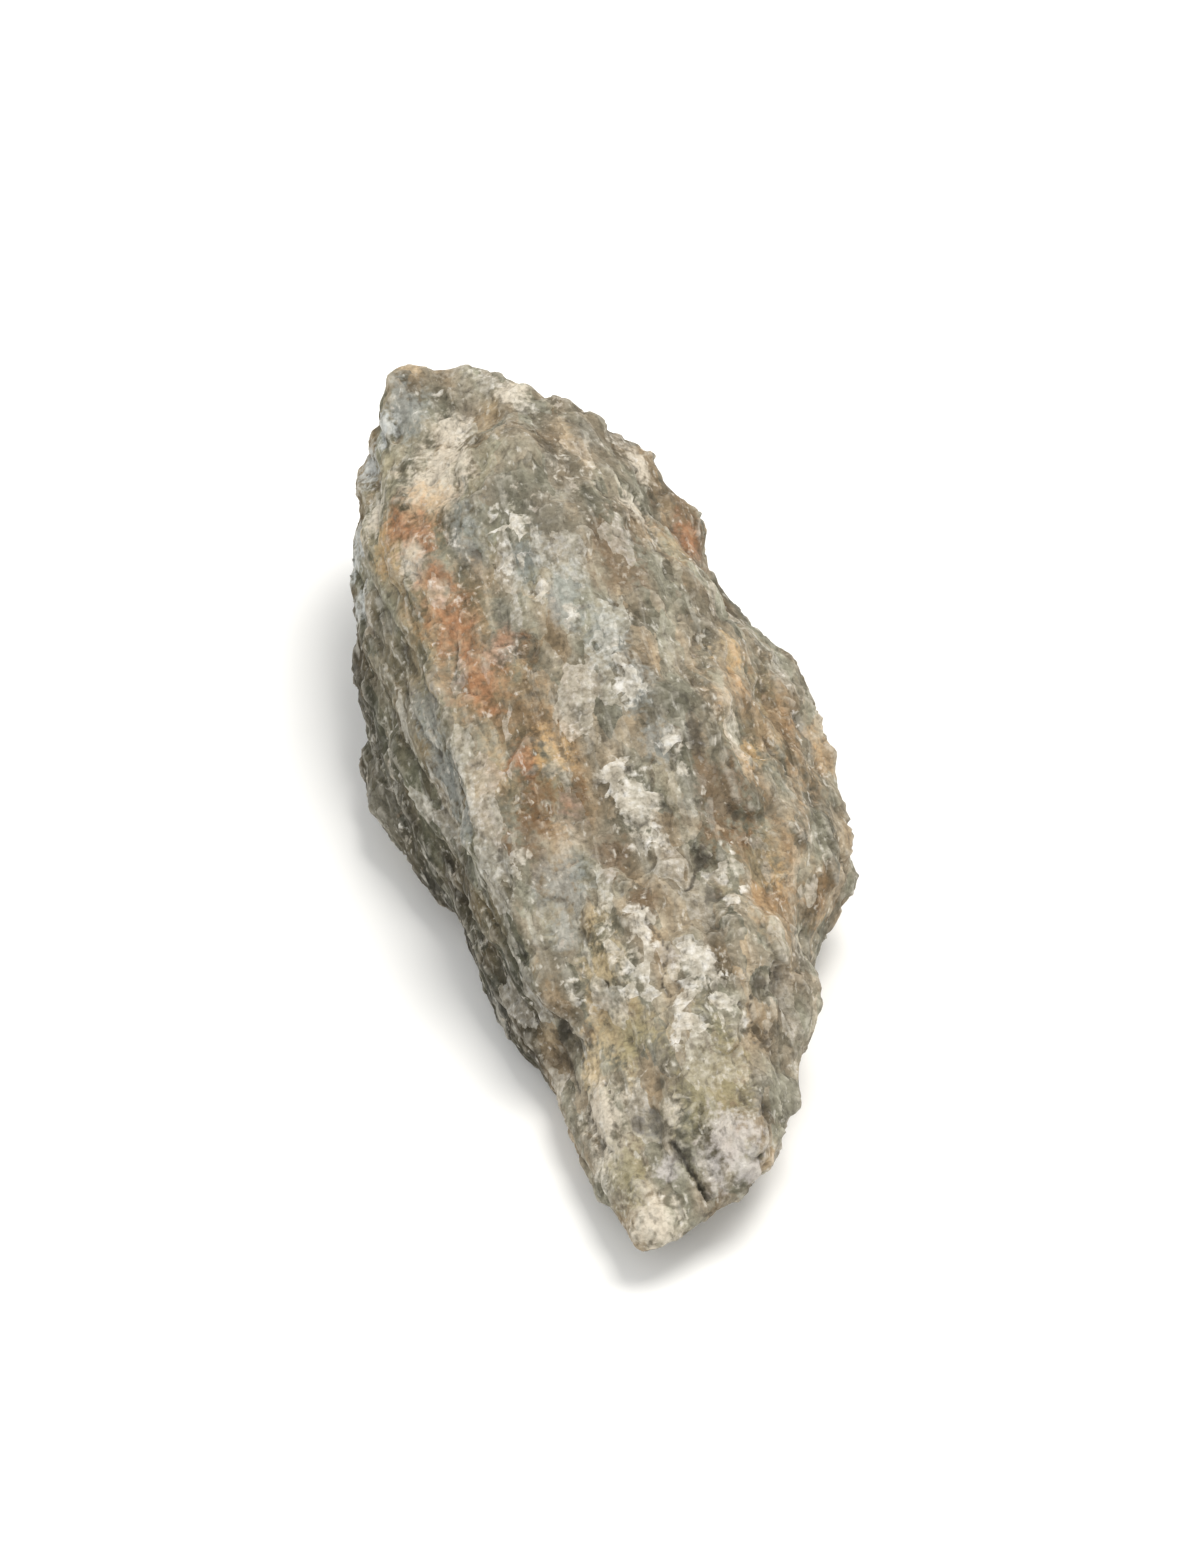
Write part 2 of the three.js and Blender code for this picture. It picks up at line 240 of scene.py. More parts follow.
# Dark spots, mostly in the recess, the groove, the seams and the other hollows: painted shade in them.
DARK = {
    "recess": Spot(487, 941, 6),
    "recess low": Spot(494, 963, 5),
    "groove": Spot(521, 1012, 4),
    "groove low": Spot(523, 1045, 5),
    "tip spot": Spot(525, 1085, 7),
    "small spot": Spot(462, 1070, 4),
    "green spot": Spot(461, 1098, 5),
    "above green": Spot(461, 1088, 4),
    "beside green": Spot(450, 1094, 3),
    "wall end": Spot(408, 1042, 5),
    "wall end low": Spot(409, 1056, 4),
    "crack top": Spot(478, 1112, 5),
    "beside crystals": Spot(516, 1030, 5),
    "seam": Spot(476, 846, 7),
    "seam low": Spot(484, 868, 7),
}
MARKINGS = {
    "rust": RUST,
    "rust_stain": RUST_STAIN,
    "brown": BROWN,
    "white": WHITE,
    "beige": BEIGE,
    "tan": TAN,
    "olive": OLIVE,
    "grey": GREY,
    "bluish": BLUISH,
    "painted_rim_highlight": PAINTED_RIM_HIGHLIGHT,
    "lavender": LAVENDER,
    "dark": DARK,
}
# How much longer than wide the spots are, along the lineation.
STRETCH = 1.4
BLUISH_STRETCH = 1.8

# The crack in the tip and the narrow gaps between blocks, each from spot to spot. They are sunk, and
# painted dark as the shade in them.
CRACK = (
    Spot(471, 1105, 1.8),
    Spot(479, 1117, 2.6),
    Spot(488, 1130, 2.2),
    Spot(493, 1139, 2),
    Spot(498, 1148, 1.8),
)
GAPS = {
    "below knot": (Spot(446, 958, 1.4), Spot(457, 973, 2.6), Spot(467, 992, 2)),
    "between creams": (Spot(467, 996, 2.2), Spot(464, 1010, 1.8), Spot(468, 1020, 2)),
    "recess": (Spot(484, 930, 1.6), Spot(487, 944, 3), Spot(479, 962, 1.8)),
    "below recess": (Spot(484, 961, 1.6), Spot(496, 963, 2.4), Spot(504, 966, 1.4)),
    "beside crystals": (Spot(520, 1002, 1.6), Spot(516, 1028, 2.6), Spot(524, 1050, 2.2)),
    "among crystals": (Spot(472, 1016, 1.2), Spot(486, 1024, 2), Spot(494, 1016, 1.2)),
}
# How far they stray from the straight lines between their spots, in millimetres.
CRACK_WANDER = 0.12
GAP_WANDER = 0.35

# Places where the surface is sunk, by their middles and radii too.
SUNK = {
    "recess": Spot(488, 944, 8),
    "groove": Spot(520, 1040, 5),
    "tip spot": Spot(525, 1085, 6),
    "small spot": Spot(462, 1070, 4),
    "green spot": Spot(460, 1098, 6),
    "wall end": Spot(406, 1036, 7),
    "wall end low": Spot(404, 1056, 7),
    "brown knot": Spot(440, 940, 7),
}


# Noise, on arrays of points.

# Large odd factors that scatter the bits of a cell's place, one after another.
CELL_FACTORS = [np.uint32(factor) for factor in (374761393, 668265263, 1274126177)]
SALT_FACTOR = 2246822519
FIRST_FACTOR = np.uint32(1103515245)
SECOND_FACTOR = np.uint32(2654435761)
ALL_BITS = 0xFFFFFFFF


def chance(cell, salt):
    """A number between 0 and 1 for each lattice cell, always the same for the same cell."""
    i, j, k = (cell[..., n].astype(np.int64).astype(np.uint32) * CELL_FACTORS[n] for n in range(3))
    h = i ^ j ^ k
    h = (h ^ np.uint32(salt * SALT_FACTOR & ALL_BITS) ^ (h >> np.uint32(13))) * FIRST_FACTOR
    h = (h ^ (h >> np.uint32(15))) * SECOND_FACTOR
    return (h ^ (h >> np.uint32(16))).astype(np.float64) / 2**32


def chances(cell, salt):
    """Three numbers between 0 and 1 for each lattice cell."""
    return np.stack([chance(cell, salt + n) for n in range(3)], axis=1)


def swell(p, size, salt):
    """Smooth noise between -1 and 1 with swells of the given size."""
    at = p / size
    base = np.floor(at)
    f = at - base
    f = f * f * f * (f * (6 * f - 15) + 10)  # flat at both ends of a cell
    total = np.zeros(len(p))
    for n in range(8):
        step = np.array([n & 1, n >> 1 & 1, n >> 2 & 1])
        total += np.prod(np.where(step, f, 1 - f), axis=1) * chance(base + step, salt)
    return 2 * total - 1


def rough(p, size, octaves, salt):
    """Noise between about -1 and 1, with finer and finer swells on top of the first."""
    total = np.zeros(len(p))
    for octave in range(octaves):
        total += swell(p, size / 2**octave, salt + octave) / 2**octave
    return total


def stray(p, size, octaves, salt):
    """A small wandering step for each point, from the same kind of noise."""
    return np.stack([rough(p, size, octaves, salt + n) for n in range(3)], axis=1)


def around(cell):
    """The 27 lattice cells around a cell."""
    for n in range(27):
        yield cell + np.array([n % 3 - 1, n // 3 % 3 - 1, n // 9 - 1])


def flats(p, size, tilt, step, sharpness, salt=0):
    """Small broken flats: scattered centres each tilt and lift the surface around them."""
    at = p / size
    total = np.zeros(len(p))
    weights = np.full(len(p), 1e-9)  # never quite zero
    for cell in around(np.floor(at)):
        away = at - cell - chances(cell, salt + 1)
        weight = np.exp(-sharpness * np.sum(away**2, axis=1))
        lean = 2 * chances(cell, salt + 4) - 1
        lift = np.sum(away * lean, axis=1) * tilt * size + (chance(cell, salt + 7) - 0.5) * step
        total += weight * lift
        weights += weight
    return total / weights


def nearest_centre(p, size, salt):
    """How far the nearest scattered centre is, how much farther the next, and the first's chance."""
    at = p / size
    first = np.full(len(p), np.inf)
    second = np.full(len(p), np.inf)
    luck = np.zeros(len(p))
    for cell in around(np.floor(at)):
        centre = cell + chances(cell, salt + 1)
        away = np.linalg.norm(at - centre, axis=1)
        luck = np.where(away < first, chance(cell, salt + 4), luck)
        second = np.minimum(second, np.maximum(first, away))
        first = np.minimum(first, away)
    return first, second - first, luck


def fade(value, start, end):
    """0 at start, 1 at end, and smooth between them."""
    share = np.clip((value - start) / (end - start), 0, 1)
    return share * share * (3 - 2 * share)


def drawn_out(p, stretch):
    """The points squeezed along the lineation, so that noise on them is drawn out that many times."""
    return p - np.outer(p @ LINEATION * (1 - 1 / stretch), LINEATION)


# The stone's surface as arrays.


def even_faces(node):
    """The node's surface in millimetres, cut into small even faces: its points, faces and edges."""
    mesh = node.data.copy()
    places = np.empty(3 * len(mesh.vertices))
    mesh.vertices.foreach_get("co", places)
    mesh.vertices.foreach_set("co", places / MM)
    holder = bpy.data.objects.new("holder", mesh)
    bpy.context.scene.collection.objects.link(holder)
    holder.modifiers.new("weld", "WELD").merge_threshold = SAME_PLACE
    remesh = holder.modifiers.new("faces", "REMESH")
    remesh.mode = "VOXEL"
    remesh.voxel_size = FACE
    result = holder.evaluated_get(bpy.context.evaluated_depsgraph_get()).to_mesh()
    points = np.empty(3 * len(result.vertices))
    result.vertices.foreach_get("co", points)
    faces = np.empty(4 * len(result.polygons), dtype=np.int64)
    result.polygons.foreach_get("vertices", faces)
    edges = np.empty(2 * len(result.edges), dtype=np.int64)
    result.edges.foreach_get("vertices", edges)
    bpy.data.objects.remove(holder)
    bpy.data.meshes.remove(mesh)
    return points.reshape(-1, 3), faces.reshape(-1, 4), edges.reshape(-1, 2)


def eased(values, edges, times, share=0.5):
    """Values moved towards the mean of their neighbours along the edges, again and again."""
    a, b = edges.T
    count = np.bincount(edges.ravel(), minlength=len(values))
    for _ in range(times):
        columns = []
        for column in np.atleast_2d(values.T):
            near = np.bincount(a, column[b], len(column)) + np.bincount(b, column[a], len(column))
            columns.append(column + share * (near / count - column))
        values = np.array(columns).T.reshape(values.shape)
    return values


def normals_of(points, faces):
    a, b, c, d = (points[faces[:, n]] for n in range(4))
    across = np.cross(c - a, d - b)
    total = np.zeros_like(points)
    for n in range(4):
        for axis in range(3):
            total[:, axis] += np.bincount(faces[:, n], across[:, axis], len(points))
    return total / np.maximum(np.linalg.norm(total, axis=1, keepdims=True), 1e-12)


class Photo:
    """Finds the place on the stone that a pixel of the photograph shows."""

    def __init__(self, points, faces):
        self.tree = BVHTree.FromPolygons(points.tolist(), faces.tolist())
        self.distance = CAMERA_DISTANCE / MM
        self.eye = (points.min(axis=0) + points.max(axis=0)) / 2 + self.distance * TO_CAMERA
        sight = points - self.eye
        depth = -sight @ TO_CAMERA
        across = sight @ VIEW_RIGHT / depth
        rise = sight @ VIEW_UP / depth
        # The step is how far one pixel turns the line of sight. Left and top are those of pixel 0, 0.
        self.step = (rise.max() - rise.min()) / (STONE_BOTTOM - STONE_TOP)
        self.left = (across.max() + across.min()) / 2 - self.step * (STONE_LEFT + STONE_RIGHT) / 2
        self.top = rise.max() + self.step * STONE_TOP
        self.pixel = self.step * self.distance  # millimetres in a pixel

    def place(self, x, y):
        """The nearest place on the surface, seen from the camera, to a pixel."""
        across = self.left + self.step * x
        rise = self.top - self.step * y
        sight = across * VIEW_RIGHT + rise * VIEW_UP - TO_CAMERA
        hit = self.tree.ray_cast(Vector(self.eye), Vector(sight))[0]
        if hit is None:
            hit = self.tree.find_nearest(Vector(self.eye + self.distance * sight))[0]
        return np.array(hit)

    def mask(self, points, spots, stretch=STRETCH):
        """How much each point belongs to the spots.

        It is 1 at a spot's middle, 0.5 at its radius, and 0 at twice that.
        """
        total = np.zeros(len(points))
        squeezed = drawn_out(points, stretch)
        for spot in spots.values():
            centre = drawn_out(self.place(spot.x, spot.y)[None], stretch)
            away = np.linalg.norm(squeezed - centre, axis=1) / (spot.radius * self.pixel)
            total = np.maximum(total, 1 - away / 2)
        return total

    def line_mask(self, points, spots, wander):
        """The same, for a line from spot to spot that wanders by so many millimetres."""
        shifted = points + wander * stray(points, size=2, octaves=3, salt=41)
        total = np.zeros(len(points))
        ends = [(self.place(spot.x, spot.y), spot.radius * self.pixel) for spot in spots]
        for (a, a_radius), (b, b_radius) in zip(ends, ends[1:]):
            share = np.clip((shifted - a) @ (b - a) / ((b - a) @ (b - a)), 0, 1)
            away = np.linalg.norm(shifted - a - np.outer(share, b - a), axis=1)
            radius = a_radius + share * (b_radius - a_radius)
            total = np.maximum(total, 1 - fade(away / radius, 0.2, 1.3))
        return total


def gaps_mask(points, photo):
    return np.max([photo.line_mask(points, spots, GAP_WANDER) for spots in GAPS.values()], axis=0)


def ledges(points):
    """The thick and thin layers of the left wall, each broken off a little farther out than the next."""
    height = points @ LAYER_NORMAL
    thick = height / THICK_LAYER + 0.5 * swell(points, size=9, salt=3)
    thick += 0.12 * swell(points, size=3, salt=4)
    thin = height / THIN_LAYER + 0.6 * swell(points, size=5, salt=5)
    return 0.6 * (0.5 - np.abs(thick % 1 - 0.3)) + 0.16 * (thin % 1 - 0.5)


def relief(points, normals, photo):
    """How far the fine surface stands out from the eased solid, in millimetres."""
    wall = fade(-normals[:, 0], 0.35, 0.8)
    flank = fade(np.maximum(normals[:, 0], normals[:, 1]), 0.2, 0.7)
    drawn = drawn_out(points, CHIP_STRETCH)
    large_chips = flats(drawn, size=6, tilt=0.13, step=0.45, sharpness=120)
    small_chips = flats(drawn, size=3.1, tilt=0.19, step=0.28, sharpness=90, salt=20)
    chips = large_chips + small_chips
    grains = flats(points, size=1.5, tilt=0.26, step=0.1, sharpness=80, salt=40)
    ragged = points + 0.35 * stray(points, size=1.2, octaves=2, salt=31)
    away, _, luck = nearest_centre(drawn_out(ragged, PIT_STRETCH), size=3.4, salt=80)
    pits = np.where(luck < 0.3, 1 - fade(away, 0.0, 0.3), 0) * (0.3 + luck)
    _, gap, luck = nearest_centre(drawn_out(ragged, CHIP_STRETCH), size=2.9, salt=90)
    blocky = np.maximum(fade(-points[:, 1], -6, 14), flank) * (1 - wall)
    blocks = blocky * 0.5 * (luck - 0.5) * fade(gap, 0, 0.4)
    uneven = 0.3 * rough(points, size=2.2, octaves=3, salt=7)
    crystals = fade(photo.mask(points, WHITE) + uneven, 0.2, 0.8)
    sunk = fade(photo.mask(points, SUNK) + uneven, 0.2, 0.9)
    crack = photo.line_mask(points, CRACK, CRACK_WANDER)
    gaps = gaps_mask(points, photo)
    chipped = chips * (1 - 0.45 * wall + 0.6 * flank)
    grainy = grains * (1 + 0.6 * crystals)
    raised = chipped + grainy + wall * ledges(points) + blocks
    return raised + 0.15 * crystals - 0.5 * pits - 0.5 * sunk - 0.9 * crack - 0.3 * gaps


def weathered(points, faces, edges, photo):
    """The fine surface: the eased solid moved by its relief, flat where it lies on the ground."""
    normals = normals_of(points, faces)
    smooth_normals = unit_rows(eased(normals, edges, NORMAL_EASING))
    out = relief(points, smooth_normals, photo)
    moved = points + out[:, None] * smooth_normals
    on_base = (points[:, 2] < BASE_HEIGHT) & (normals[:, 2] < -0.5)
    moved[on_base] = points[on_base]
    moved[on_base, 2] += np.maximum(-out[on_base], 0) * BASE_DENTS
    moved[:, 2] = np.maximum(moved[:, 2], 0)
    return moved


def unit_rows(v):
    return v / np.maximum(np.linalg.norm(v, axis=1, keepdims=True), 1e-12)


def stand_out(points, faces, edges, times):
    """How far each point stands above its surroundings, in millimetres. It is negative in hollows."""
    return np.sum((points - eased(points, edges, times)) * normals_of(points, faces), axis=1)


def make_stone(node):
    points, faces, edges = even_faces(node)
    points = eased(points, edges, EASING)
    photo = Photo(points, faces)
    points = weathered(points, faces, edges, photo)
    facing_left = fade(eased(-normals_of(points, faces)[:, 0], edges, SIDE_EASING), 0.3, 0.7)
    crack = photo.line_mask(points, CRACK, CRACK_WANDER)
    mesh = bpy.data.meshes.new("stone_surface")
    mesh.from_pydata((points * MM).tolist(), [], faces.tolist())
    mesh.shade_smooth()
    fields = {}
    for name, spots in MARKINGS.items():
        stretch = BLUISH_STRETCH if name == "bluish" else STRETCH
        fields[name] = photo.mask(points, spots, stretch)
    fields["crack"] = np.maximum(crack, 0.8 * gaps_mask(points, photo))
    fields["wall"] = facing_left * fade(points[:, 1], WALL_END, WALL_END + WALL_FADE)
    fields["small_relief"] = stand_out(points, faces, edges, times=6) / SMALL_RELIEF
    fields["wide_relief"] = stand_out(points, faces, edges, times=60) / WIDE_RELIEF
    for name, values in fields.items():
        mesh.attributes.new(name, "FLOAT", "POINT").data.foreach_set("value", values.astype(np.float32))
    stone = bpy.data.objects.new("stone_surface", mesh)
    bpy.context.scene.collection.objects.link(stone)
    return stone


# The material.


def colour(red, green, blue):
    """A colour from its screen values, 0 to 255, as the linear values that shaders take."""
    linear = []
    for value in (red, green, blue):
        share = value / 255
        linear.append(share / 12.92 if share <= 0.04045 else ((share + 0.055) / 1.055) ** 2.4)
    return (*linear, 1.0)


class Shader:
    """Adds nodes to a material, and takes numbers, colours or other nodes' outputs as inputs."""

    def __init__(self, name):
        self.material = bpy.data.materials.new(name)
        self.material.use_nodes = True
        self.tree = self.material.node_tree
        self.surface = self.tree.nodes["Principled BSDF"]

    def put(self, socket, value):
        if isinstance(value, bpy.types.NodeSocket):
            self.tree.links.new(value, socket)
        else:
            socket.default_value = value

    def add(self, kind, inputs=(), output=0, **settings):
        node = self.tree.nodes.new(kind)
        for name, value in settings.items():
            setattr(node, name, value)
        for key, value in dict(inputs).items():
            self.put(node.inputs[key], value)
        return node.outputs[output]

    def field(self, name):
        return self.add("ShaderNodeAttribute", output="Fac", attribute_name=name)

    def calc(self, operation, *values):
        return self.add("ShaderNodeMath", enumerate(values), operation=operation)

    def vector(self, operation, *values):
        return self.add("ShaderNodeVectorMath", enumerate(values), operation=operation)

    def scaled(self, vector, scale):
        return self.add("ShaderNodeVectorMath", {0: vector, "Scale": scale}, operation="SCALE")

    def noise(self, at, size, detail, output="Fac"):
        inputs = {"Vector": at, "Scale": 1 / size, "Detail": detail}
        return self.add("ShaderNodeTexNoise", inputs, output)

    def grains(self, at, size):
        """Three chances for each grain, and further outputs on its node."""
        inputs = {"Vector": at, "Scale": 1 / size}
        return self.add("ShaderNodeTexVoronoi", inputs, "Color")

    def three_of(self, triple):
        node = self.tree.nodes.new("ShaderNodeSeparateColor")
        self.put(node.inputs[0], triple)
        return list(node.outputs)

    def one_of(self, triple):
        return self.three_of(triple)[0]

    def total(self, start, *parts):
        """The start value with each part added, times its own factor."""
        result = start
        for part, factor in parts:
            result = self.calc("MULTIPLY_ADD", part, factor, result)
        return result

    def between(self, value, low, high, to_low=0.0, to_high=1.0):
        """The value mapped from low..high to to_low..to_high, and held there outside it."""
        inputs = {"Value": value, 1: low, 2: high, 3: to_low, 4: to_high}
        return self.add("ShaderNodeMapRange", inputs, interpolation_type="SMOOTHSTEP")

    def ramp(self, value, stops):
        node = self.tree.nodes.new("ShaderNodeValToRGB")
        self.put(node.inputs[0], value)
        elements = node.color_ramp.elements
        while len(elements) < len(stops):
            elements.new(0.5)
        for element, (position, shade) in zip(elements, stops):
            element.position = position
            element.color = shade
        return node.outputs[0]

    def mix(self, factor, first, second, blend="MIX"):
        node = self.tree.nodes.new("ShaderNodeMix")
        node.data_type = "RGBA"
        node.blend_type = blend
        self.put(node.inputs[0], factor)
        self.put(node.inputs[6], first)
        self.put(node.inputs[7], second)
        return node.outputs[2]


# Screen colours of the stone's minerals, from dark to pale.
GROUND = [
    (0.2, colour(86, 80, 66)),
    (0.36, colour(124, 116, 100)),
    (0.5, colour(154, 145, 128)),
    (0.64, colour(182, 173, 155)),
    (0.8, colour(214, 206, 191)),
]
# The left wall's tone, multiplied in: painted shade at the foot, its own grey-green in the middle, almost
# nothing at the top.
WALL_FOOT_PAINTED_SHADE = colour(124, 124, 112)
WALL_MIDDLE = colour(174, 177, 166)
WALL_TOP = colour(246, 246, 234)
RUST_SHADES = [(0.3, colour(122, 88, 60)), (0.5, colour(168, 117, 80)), (0.7, colour(192, 152, 118))]
WHITE_SHADES = [(0.35, colour(170, 161, 144)), (0.5, colour(212, 204, 188)), (0.65, colour(238, 234, 226))]
# The other markings' colours, and how strongly each covers the ground.
SHADES = {
    "brown": (colour(112, 92, 68), 0.78),
    "grey": (colour(112, 107, 92), 0.68),
    "beige": (colour(216, 205, 186), 0.72),
    "tan": (colour(200, 178, 138), 0.6),
    "olive": (colour(148, 139, 105), 0.7),
    "bluish": (colour(148, 153, 150), 0.55),
    # a painted highlight on the left edge
    "painted_rim_highlight": (colour(200, 202, 198), 0.85),
    "lavender": (colour(202, 195, 190), 0.65),
}
DARK_SHADE = colour(60, 54, 44)
VEIN_SHADE = colour(208, 203, 190)
FLECK_SHADE = colour(224, 219, 207)
# A painted highlight for the grains that stand out.
PAINTED_EDGE_HIGHLIGHT = colour(222, 215, 200)
COOL_TINT = colour(229, 236, 231)
EVEN_TINT = colour(250, 246, 238)
WARM_TINT = colour(255, 238, 216)
STAIN_TINT = colour(255, 230, 200)
SPECKLE_LOW = colour(228, 227, 225)
SPECKLE_HIGH = colour(255, 255, 255)

# Sizes of the minerals in millimetres, and how far they are drawn out along the lineation.
GRAIN = 0.6
CRYSTAL = 1.3
PATCH = 1.9
PATCH_STRETCH = 2.0
FIBRE_STRETCH = 9
# The left wall's tone climbs from its foot to its top between these heights: its own grey-green, with
# painted shade that deepens towards the undercut foot.
TONE_START = 1.0
TONE_END = 19.0


def stone_material():
    s = Shader("stone")
    object_place = s.add("ShaderNodeTexCoord", output="Object")
    at = s.scaled(object_place, 1 / MM)
    turn = Vector(LINEATION).to_track_quat("X", "Z").to_euler()

    def drawn_out_by(stretch):
        along = {"Vector": at, "Rotation": tuple(turn), "Scale": (stretch, 1, 1)}
        return s.add("ShaderNodeMapping", along, vector_type="TEXTURE")

    drawn = drawn_out_by(PATCH_STRETCH)
    fibres = drawn_out_by(FIBRE_STRETCH)

    # Each grain takes a colour of its own, and patches of grains are darker or paler together.
    grain_place = s.vector("ADD", at, s.scaled(s.noise(at, 0.9, 2, "Color"), 0.35))
    grain = s.grains(grain_place, GRAIN)
    small_grain = s.one_of(grain)
    bent = s.vector("ADD", drawn, s.scaled(s.noise(drawn, 1.5, 4, "Color"), 2.2))
    patch_light, patch_warmth, patch_kind = s.three_of(s.grains(bent, PATCH))
    fine = s.noise(at, 0.5, 4)
    streak = s.noise(drawn, 1.0, 5)
    wide = s.noise(drawn, 2.6, 3)
    broad = s.noise(at, 7, 1)
    shade = s.total(
        -0.495,
        (small_grain, 0.09),
        (patch_light, 0.18),
        (fine, 0.27),
        (streak, 0.4),
        (wide, 0.62),
        (broad, 0.3),
    )
    base = s.ramp(shade, GROUND)

    # Warm and cool tints in wide soft patches.
    warmth = s.total(-0.07, (s.noise(drawn, 3.4, 3), 0.9), (patch_warmth, 0.2))
    tint = s.ramp(warmth, [(0.36, COOL_TINT), (0.5, EVEN_TINT), (0.64, WARM_TINT)])
    base = s.mix(1.0, base, tint, "MULTIPLY")

    # The markings, each broken up along its edge by the grains.
    ragged = s.total(-1.45, (s.noise(drawn, 1.8, 5), 1.6), (fine, 1.3))
    soft = s.total(-1.1, (s.noise(at, 1.4, 3), 1.3), (fine, 0.9))
    crystal = s.one_of(s.grains(grain_place, CRYSTAL))
    blocky = s.total(-1.15, (crystal, 0.9), (fine, 1.4))

    def spread(name, edge, low, high, most):
        return s.between(s.calc("ADD", s.field(name), edge), low, high, 0.0, most)

    # Left-facing surfaces take the wall's tone: its own grey-green, and painted shade deepening towards
    # the foot.
    wall = s.field("wall")
    height = s.add("ShaderNodeSeparateXYZ", {0: at}, output=2)
    wall_stops = [(0.0, WALL_FOOT_PAINTED_SHADE), (0.6, WALL_MIDDLE), (1.0, WALL_TOP)]
    wall_tone_and_painted_shade = s.ramp(s.between(height, TONE_START, TONE_END), wall_stops)
    base = s.mix(wall, base, s.mix(1.0, base, wall_tone_and_painted_shade, "MULTIPLY"))
    for name, (cover, most) in SHADES.items():
        base = s.mix(spread(name, ragged, 0.3, 0.8, most), base, cover)
    vein = s.between(s.noise(fibres, 0.8, 3), 0.56, 0.7)
    vein = s.calc("MULTIPLY", vein, s.between(wall, 0.0, 1.0, 0.25, 0.5))
    base = s.mix(vein, base, VEIN_SHADE)
    stained = s.mix(1.0, base, STAIN_TINT, "MULTIPLY")
    base = s.mix(spread("rust_stain", ragged, 0.2, 0.9, 0.8), base, stained)
    mottle = s.noise(at, 0.8, 3)
    base = s.mix(spread("rust", soft, 0.25, 1.0, 0.75), base, s.ramp(mottle, RUST_SHADES))
    white = spread("white", blocky, 0.4, 0.75, 0.7)
    base = s.mix(white, base, s.ramp(mottle, WHITE_SHADES))
    base = s.mix(s.between(patch_kind, 0.8, 0.97, 0.0, 0.35), base, s.ramp(fine, WHITE_SHADES))

    # Scattered white flecks and dark grains.
    fleck = s.noise(drawn, 0.55, 4)
    base = s.mix(s.between(fleck, 0.6, 0.74, 0.0, 0.5), base, FLECK_SHADE)
    base = s.mix(s.between(fleck, 0.4, 0.3, 0.0, 0.4), base, DARK_SHADE)

    # Painted shade in the hollows, and a painted highlight on the grains that stand out.
    small_relief = s.field("small_relief")
    wide_relief = s.field("wide_relief")
    base = s.mix(s.between(small_relief, -0.1, -1.2, 0.0, 0.5), base, DARK_SHADE)
    base = s.mix(s.between(wide_relief, -0.3, -1.6, 0.0, 0.45), base, DARK_SHADE)
    base = s.mix(s.between(small_relief, 0.1, 1.4, 0.0, 0.3), base, PAINTED_EDGE_HIGHLIGHT)
    # Painted shade in the dark spots' hollows, in the crack and in the gaps.
    base = s.mix(spread("dark", ragged, 0.35, 0.8, 0.7), base, DARK_SHADE)
    base = s.mix(s.between(s.field("crack"), 0.3, 0.8, 0.0, 0.7), base, DARK_SHADE)

    # Single grains stay darker or paler under all of this.
    speckle = s.ramp(s.noise(at, 0.35, 3), [(0.36, SPECKLE_LOW), (0.56, SPECKLE_HIGH)])
    base = s.mix(1.0, base, speckle, "MULTIPLY")
    s.put(s.surface.inputs["Base Color"], base)

    # Crystal faces shine a little, and the rest is matt.
    gloss = s.between(small_grain, 0.55, 0.95, 0.88, 0.55)
    gloss = s.calc("MULTIPLY_ADD", white, -0.15, gloss)
    s.put(s.surface.inputs["Roughness"], gloss)
    s.surface.inputs["Specular IOR Level"].default_value = 0.4

    # Relief finer than the mesh.
    away = s.vector("SUBTRACT", grain_place, grain.node.outputs["Position"])
    lean = s.vector("SUBTRACT", grain, (0.5, 0.5, 0.5))
    facet = s.add("ShaderNodeVectorMath", {0: away, 1: lean}, 1, operation="DOT_PRODUCT")
    fine_height = s.total(0.0, (facet, 0.5), (s.noise(at, 0.35, 4), 0.14))
    bump = s.add("ShaderNodeBump", {"Height": fine_height, "Strength": 1.0, "Distance": MM})
    s.put(s.surface.inputs["Normal"], bump)
    return s.material


# The room.


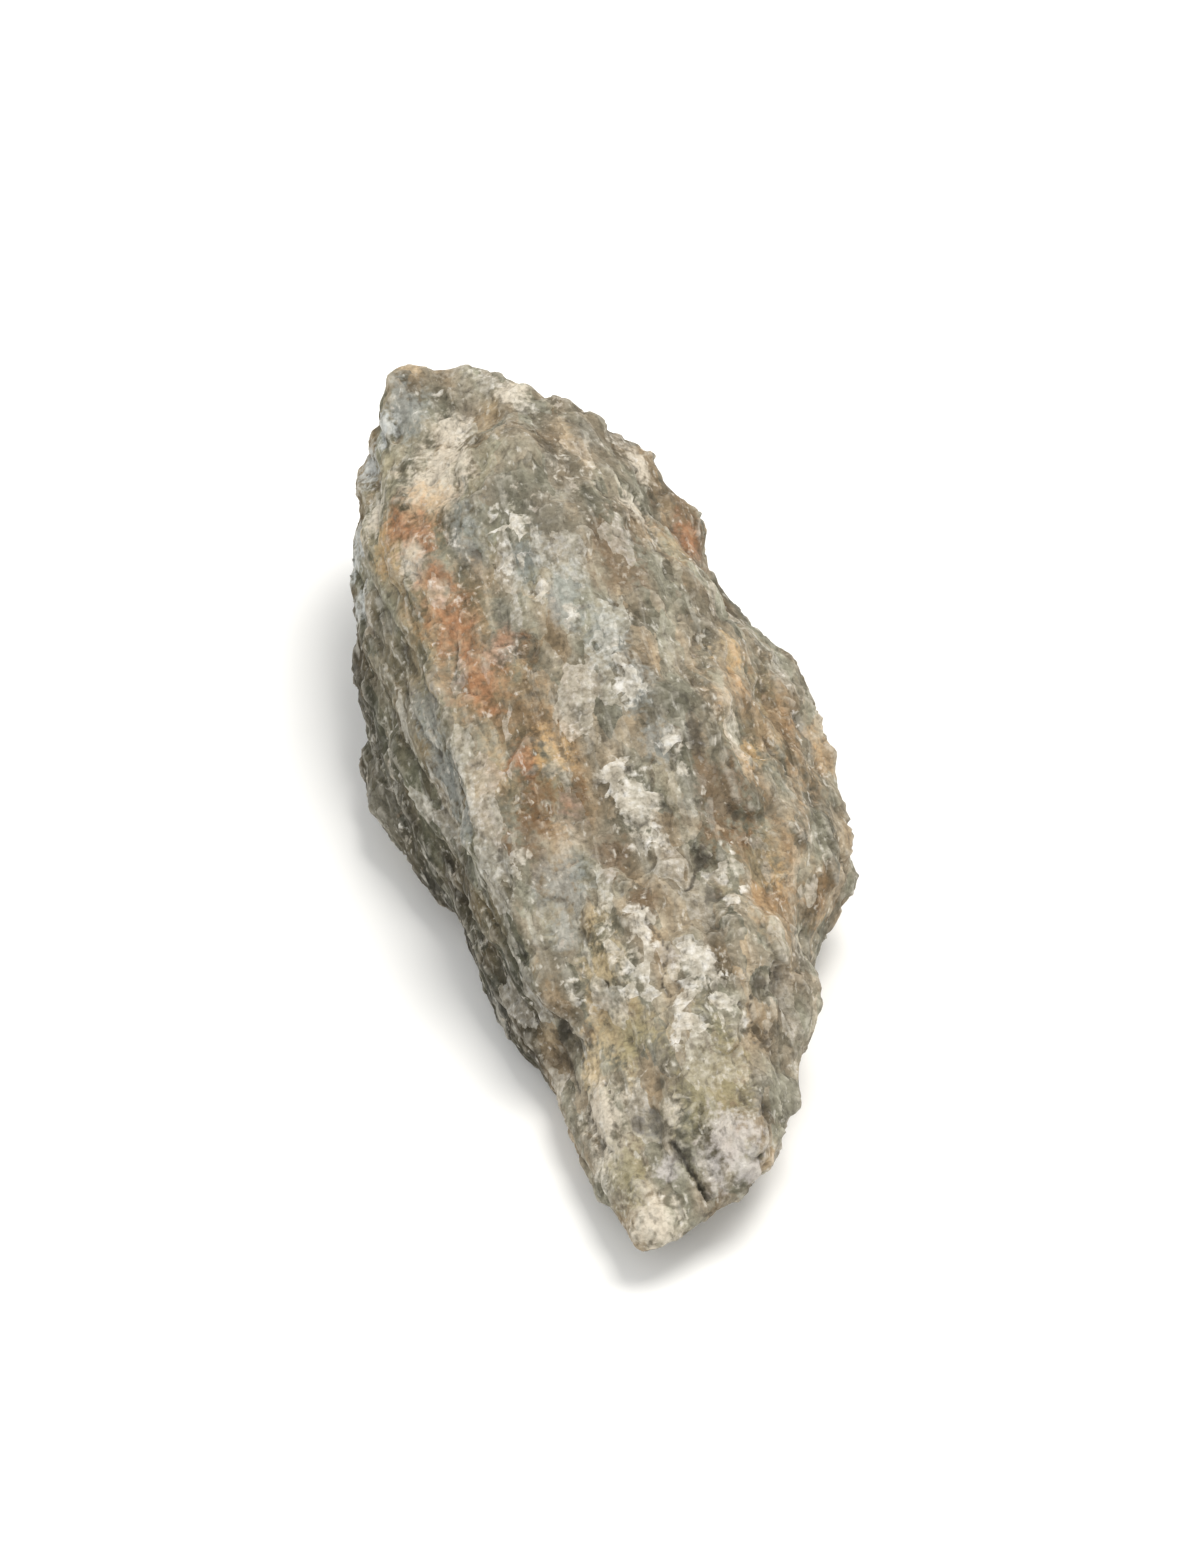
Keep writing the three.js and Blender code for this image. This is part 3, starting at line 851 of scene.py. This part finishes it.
def soft_light(name, place, size, power, shade):
    """A square soft light that faces the stone."""
    light = bpy.data.lights.new(name, "AREA")
    light.size = size
    light.energy = power
    light.color = shade
    lamp = bpy.data.objects.new(name, light)
    lamp.location = place
    lamp.rotation_mode = "QUATERNION"
    lamp.rotation_quaternion = (-Vector(place)).to_track_quat("-Z", "Y")
    bpy.context.scene.collection.objects.link(lamp)


def make_room():
    floor_mesh = bpy.data.meshes.new("floor")
    reach = 3.0
    corners = [(-reach, -reach, 0), (reach, -reach, 0), (reach, reach, 0), (-reach, reach, 0)]
    floor_mesh.from_pydata(corners, [], [(0, 1, 2, 3)])
    floor = bpy.data.objects.new("floor", floor_mesh)
    bpy.context.scene.collection.objects.link(floor)
    s = Shader("floor")
    s.surface.inputs["Base Color"].default_value = colour(244, 243, 240)
    s.surface.inputs["Roughness"].default_value = 0.95
    floor_mesh.materials.append(s.material)

    world = bpy.data.worlds.new("sky")
    world.use_nodes = True
    world.node_tree.nodes["Background"].inputs["Color"].default_value = colour(246, 247, 248)
    world.node_tree.nodes["Background"].inputs["Strength"].default_value = 0.85
    bpy.context.scene.world = world

    soft_light("key", place=(0.22, 0.1, 0.78), size=0.4, power=5.2, shade=(1.0, 0.98, 0.95))
    soft_light("fill", place=(-0.35, -0.65, 0.5), size=0.6, power=1.2, shade=(0.95, 0.98, 1.0))
    bpy.context.scene.view_settings.view_transform = "Standard"


def make_camera():
    """Looks at the stone at the photograph's angle, over a little more than half of the height."""
    middle = (np.array(CAD_LOW) + np.array(CAD_HIGH)) / 2
    seen_height = 0.114  # metres of the stone's surroundings that fit in the picture's height
    camera = bpy.data.cameras.new("camera")
    camera.lens = camera.sensor_width * CAMERA_DISTANCE / seen_height
    camera.clip_start = 0.01
    camera.clip_end = 10
    viewer = bpy.data.objects.new("camera", camera)
    viewer.location = middle + CAMERA_DISTANCE * TO_CAMERA
    viewer.rotation_mode = "QUATERNION"
    viewer.rotation_quaternion = Vector(-TO_CAMERA).to_track_quat("-Z", "Y")
    bpy.context.scene.collection.objects.link(viewer)
    bpy.context.scene.camera = viewer


make_camera()
make_room()
stone = make_stone(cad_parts["rough_rock"])
stone.data.materials.append(stone_material())
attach(stone, "root")
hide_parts("rough_rock")
